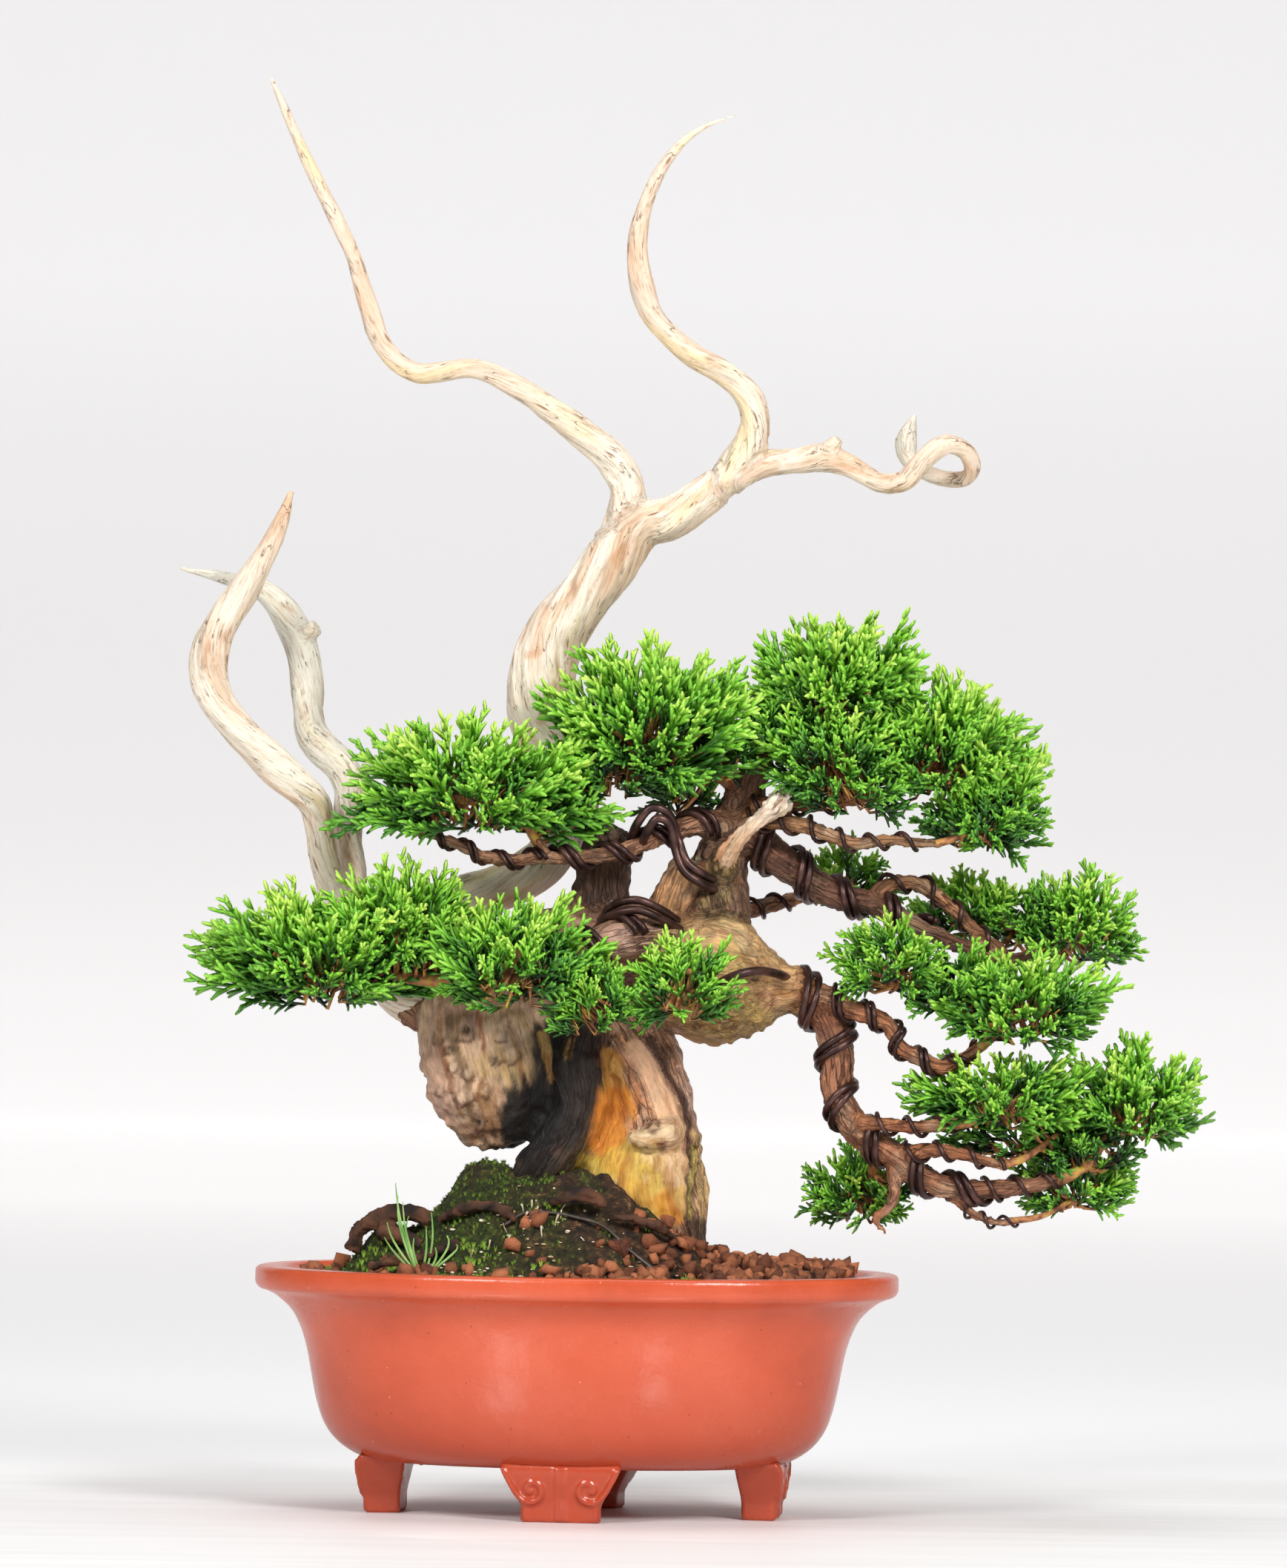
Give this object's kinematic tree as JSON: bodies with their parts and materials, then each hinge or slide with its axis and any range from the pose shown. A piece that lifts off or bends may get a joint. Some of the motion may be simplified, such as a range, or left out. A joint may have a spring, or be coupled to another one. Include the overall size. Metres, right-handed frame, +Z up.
{
  "type": "chinese juniper bonsai in an oval pot",
  "caption": "Juniper bonsai with bare bleached jins, wired branches and dense leafy pads, standing in mossy soil in an oval clay pot on feet.",
  "frame": {"origin": "on the surface that the pot stands on, under the middle of the whole object's box", "axes": "+X to the viewer's right, +Y away from the viewer, +Z up from the pot's feet; the viewer looks along +Y as in the picture"},
  "size_m": [0.3534, 0.1462, 0.4845],
  "materials": {
    "fired_clay": "unglazed red-brown fired clay, satin",
    "mesh_plastic": "black moulded mesh",
    "soil": "loose soil, akadama grains and moss",
    "grass": "fresh blades",
    "grey_wire": "dull grey",
    "living_wood": "flaking bark",
    "bleached_wood": "dry silvered wood with open grain",
    "training_wire": "brown anodised",
    "foliage": "waxy scale leaves"
  },
  "bodies": {
    "root": {"pot": "fired_clay", "drain_mesh_left": "mesh_plastic", "drain_mesh_right": "mesh_plastic", "soil": "soil", "grass_tuft": "grass", "soil_wire": "grey_wire", "trunk": "living_wood", "deadwood_main": "bleached_wood", "deadwood_left": "bleached_wood", "deadwood_stub": "bleached_wood", "wire_upper_left": "training_wire", "wire_upper_left_end": "training_wire", "wire_limb": "training_wire", "wire_right_upper": "training_wire", "wire_drop": "training_wire", "wire_pad_branch": "training_wire", "foliage_upper_left": "foliage", "foliage_top": "foliage", "foliage_upper_right": "foliage", "foliage_upper_right_end": "foliage", "foliage_lower_left": "foliage", "foliage_lower_middle": "foliage", "foliage_sprig": "foliage", "foliage_far_right": "foliage", "foliage_right": "foliage", "foliage_lower_right": "foliage", "foliage_lower_right_end": "foliage", "foliage_low_back": "foliage", "foliage_back": "foliage"}
  },
  "joints": []
}
